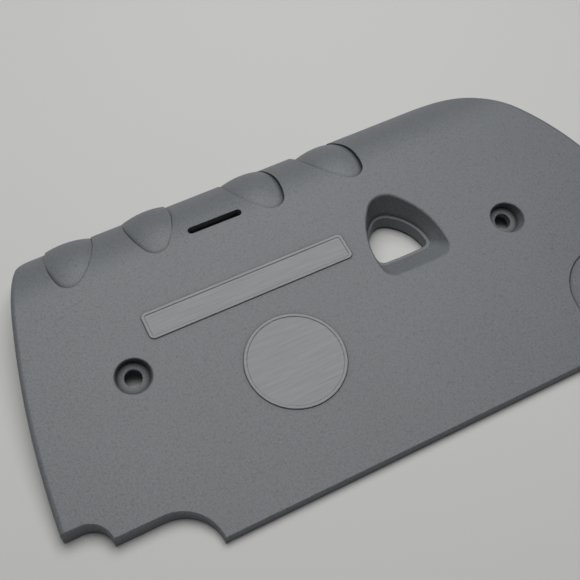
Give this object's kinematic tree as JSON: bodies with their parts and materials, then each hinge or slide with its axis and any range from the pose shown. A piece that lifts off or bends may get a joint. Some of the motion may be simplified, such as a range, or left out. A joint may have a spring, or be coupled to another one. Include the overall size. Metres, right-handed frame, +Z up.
{
  "type": "engine cover",
  "caption": "Moulded plastic engine cover: sloping panel, rolled front edge with runner pockets, bolt wells, oil filler funnel, vent slot and notched rear edge.",
  "frame": {"origin": "middle of the cover's box, on the plane of the rim", "axes": "+X along the engine, +Y towards the rolled front edge with the runner pockets, +Z up out of the panel"},
  "size_m": [0.59, 0.324, 0.0425],
  "materials": {
    "cover_plastic": "fine grained, with polished raised pads"
  },
  "bodies": {
    "root": {"engine_cover": "cover_plastic"}
  },
  "joints": []
}
